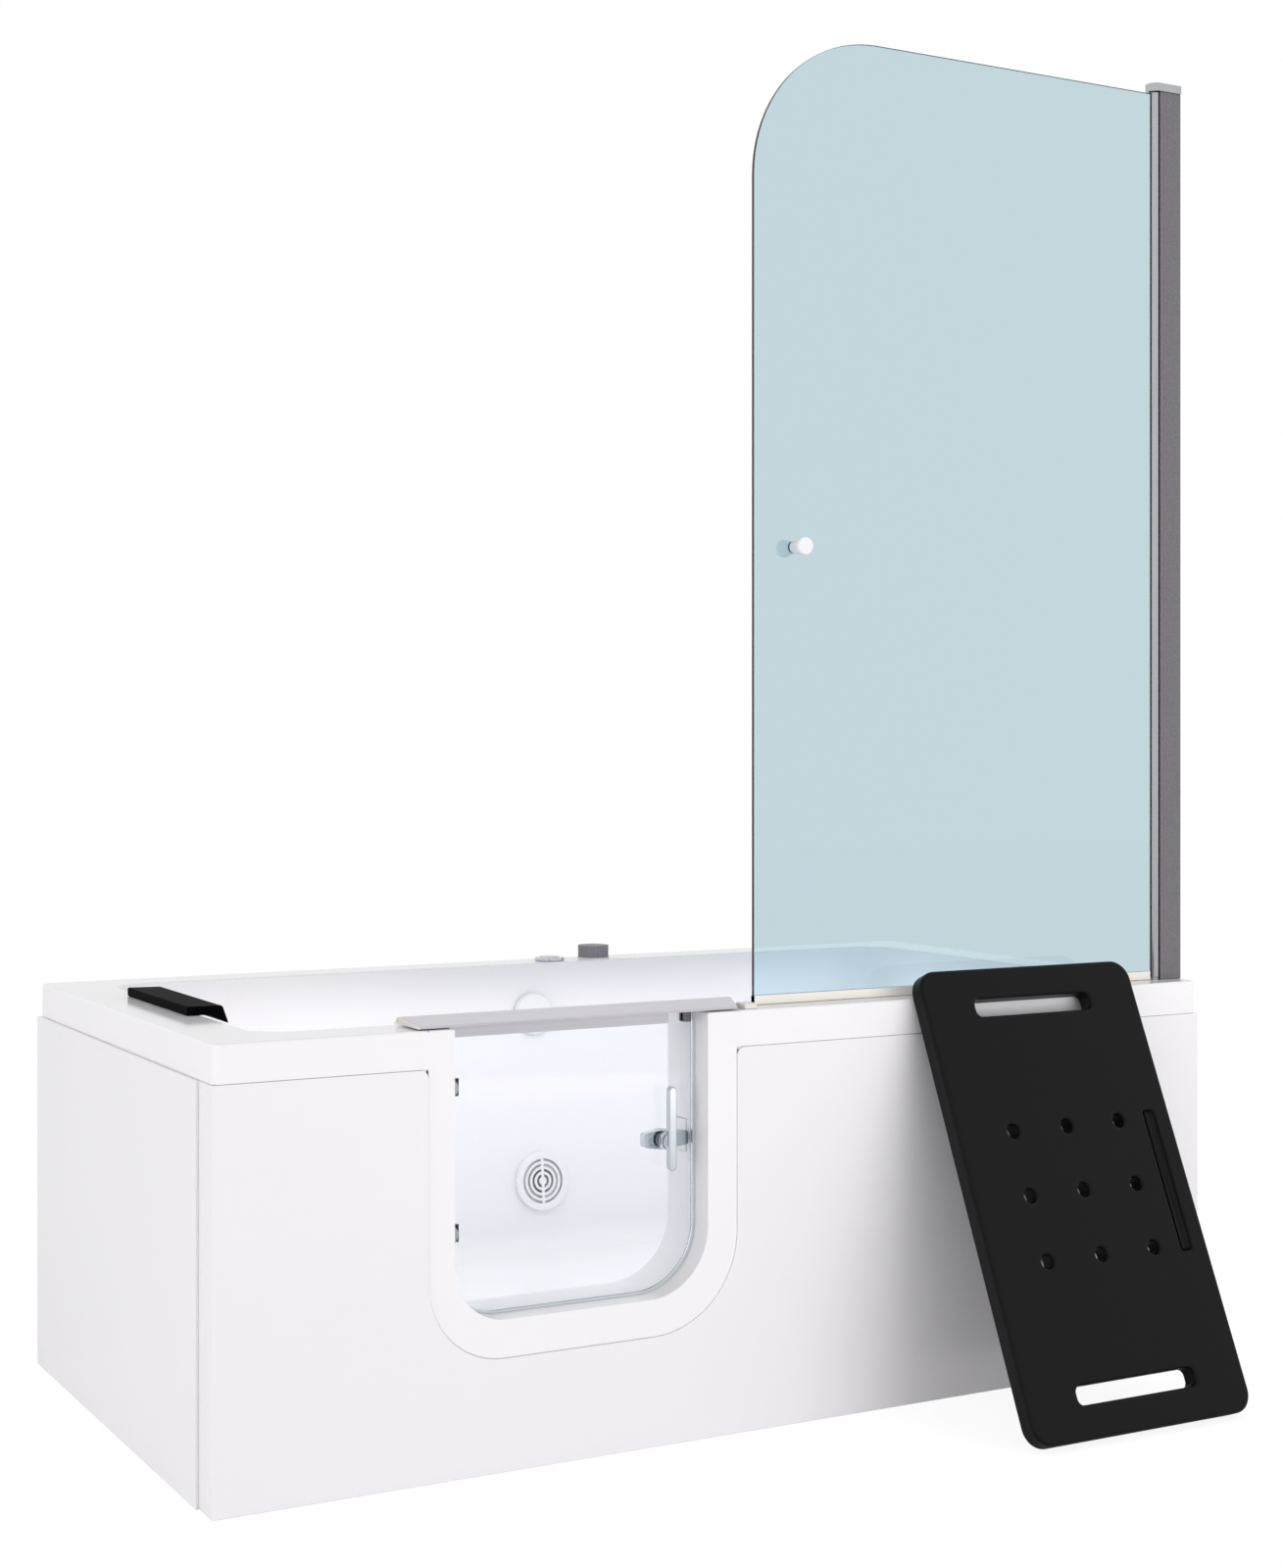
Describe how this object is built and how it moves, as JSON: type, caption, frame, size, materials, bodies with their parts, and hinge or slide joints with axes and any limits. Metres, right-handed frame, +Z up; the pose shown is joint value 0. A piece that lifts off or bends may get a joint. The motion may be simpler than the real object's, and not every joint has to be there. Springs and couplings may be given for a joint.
{
  "type": "walk-in bathtub",
  "caption": "White walk-in bathtub with an inward glass door and lever latch, a hinged tinted bath screen, a black headrest and a black seat board leaning on the front.",
  "frame": {"origin": "on the floor under the middle of the tub, at the underside of the middle foot", "axes": "+X along the tub to the screen's wall end, +Y from the front panel to the rear side, +Z up"},
  "size_m": [1.612, 1.0804, 1.985],
  "materials": {
    "acrylic_white": "gloss",
    "panel_white": "gloss",
    "steel_frame": "satin",
    "zinc_steel": "satin",
    "base_wood": "matte",
    "foot_rubber": "matte",
    "seal_grey": "satin",
    "seal_beige": "satin",
    "chrome": "polished",
    "brushed_plate": "brushed",
    "satin_profile": "satin",
    "bright_bar": "polished",
    "door_clear": "clear",
    "screen_tint": "tinted",
    "pipe_plastic": "matte",
    "pump_dark": "matte",
    "motor_paint": "satin",
    "cap_cream": "satin",
    "stop_cream": "translucent",
    "pillow_black": "gloss",
    "board_black": "matte",
    "black_plastic": "satin",
    "knob_grey": "satin",
    "button_pale": "gloss",
    "tube_clear": "clear"
  },
  "bodies": {
    "tub": {"tub_shell": "acrylic_white", "door_surround": "acrylic_white", "door_frame": "steel_frame", "front_panel": "panel_white", "end_panels": "panel_white", "base_board": "base_wood", "long_rails": "steel_frame", "cross_rails": "steel_frame", "rim_uprights": "steel_frame", "foot_stems": "zinc_steel", "foot_pads": "foot_rubber", "foot_nuts": "zinc_steel", "support_brackets": "zinc_steel", "door_gasket": "seal_grey", "hinge_brackets": "chrome", "hinge_pins": "chrome", "bracket_screws": "zinc_steel", "strike_plate": "acrylic_white", "plate_stop": "stop_cream", "headrest_pillow": "pillow_black", "suction_cover": "acrylic_white", "suction_body": "pipe_plastic", "suction_pipe": "pipe_plastic", "pump_housing": "pump_dark", "pump_motor": "motor_paint", "pressure_pipe": "pipe_plastic", "jet_bodies": "pipe_plastic", "jet_nozzles": "acrylic_white", "overflow_cover": "acrylic_white", "overflow_body": "pipe_plastic", "overflow_pipe": "pipe_plastic", "waste_body": "chrome", "waste_trap": "pipe_plastic", "bowden_cable": "black_plastic", "knob_housing": "chrome", "button_bezel": "chrome", "button_housing": "pipe_plastic", "air_tube": "tube_clear", "screen_wall_profile": "satin_profile", "profile_end_caps": "satin_profile"},
    "door": {"door_glass": "door_clear", "top_plate": "brushed_plate", "plate_end_cap": "cap_cream", "clamp_rail": "chrome", "clamp_screws": "zinc_steel", "hinge_leaves": "chrome", "hinge_caps": "chrome", "latch_rose": "chrome", "corner_buffer": "black_plastic"},
    "latch": {"lever_handle": "chrome", "latch_spindle": "zinc_steel", "latch_bar": "chrome"},
    "screen": {"screen_glass": "screen_tint", "pivot_bar": "bright_bar", "screen_seal": "seal_beige", "screen_knobs": "acrylic_white"},
    "knob": {"control_knob": "knob_grey"},
    "button": {"push_button": "button_pale"},
    "plug": {"waste_plug": "acrylic_white"},
    "board": {"seat_board": "board_black"}
  },
  "joints": [
    {"name": "door_hinge", "type": "hinge", "parent": "tub", "child": "door", "pos_m": [-0.464, -0.343, 0.406], "axis": [0, 0, 1], "range_deg": [0, 90]},
    {"name": "latch_turn", "type": "hinge", "parent": "door", "child": "latch", "pos_m": [-0.1345, -0.37, 0.407], "axis": [0, -1, 0], "range_deg": [0, 90]},
    {"name": "screen_hinge", "type": "hinge", "parent": "tub", "child": "screen", "pos_m": [0.757, -0.354, 1.28], "axis": [0, 0, -1], "range_deg": [0, 90]},
    {"name": "knob_turn", "type": "hinge", "parent": "tub", "child": "knob", "pos_m": [0.143, 0.355, 0.6], "axis": [0, 0, 1], "range_deg": [0, 90]},
    {"name": "plug_lift", "type": "slide", "parent": "tub", "child": "plug", "axis": [0, 0, 1], "range_m": [0, 0.0141]},
    {"name": "button_press", "type": "slide", "parent": "tub", "child": "button", "axis": [0, 0, -1], "range_m": [0, 0.003], "stiffness_N_per_m": 500, "springref_m": -0.002},
    {"name": "board_lift", "type": "slide", "parent": "tub", "child": "board", "axis": [0, 0, 1], "range_m": [0, 0.3]}
  ],
  "couplings": [
    {"joint": "plug_lift", "follows": "knob_turn", "m_per_rad": 0.0089127}
  ]
}
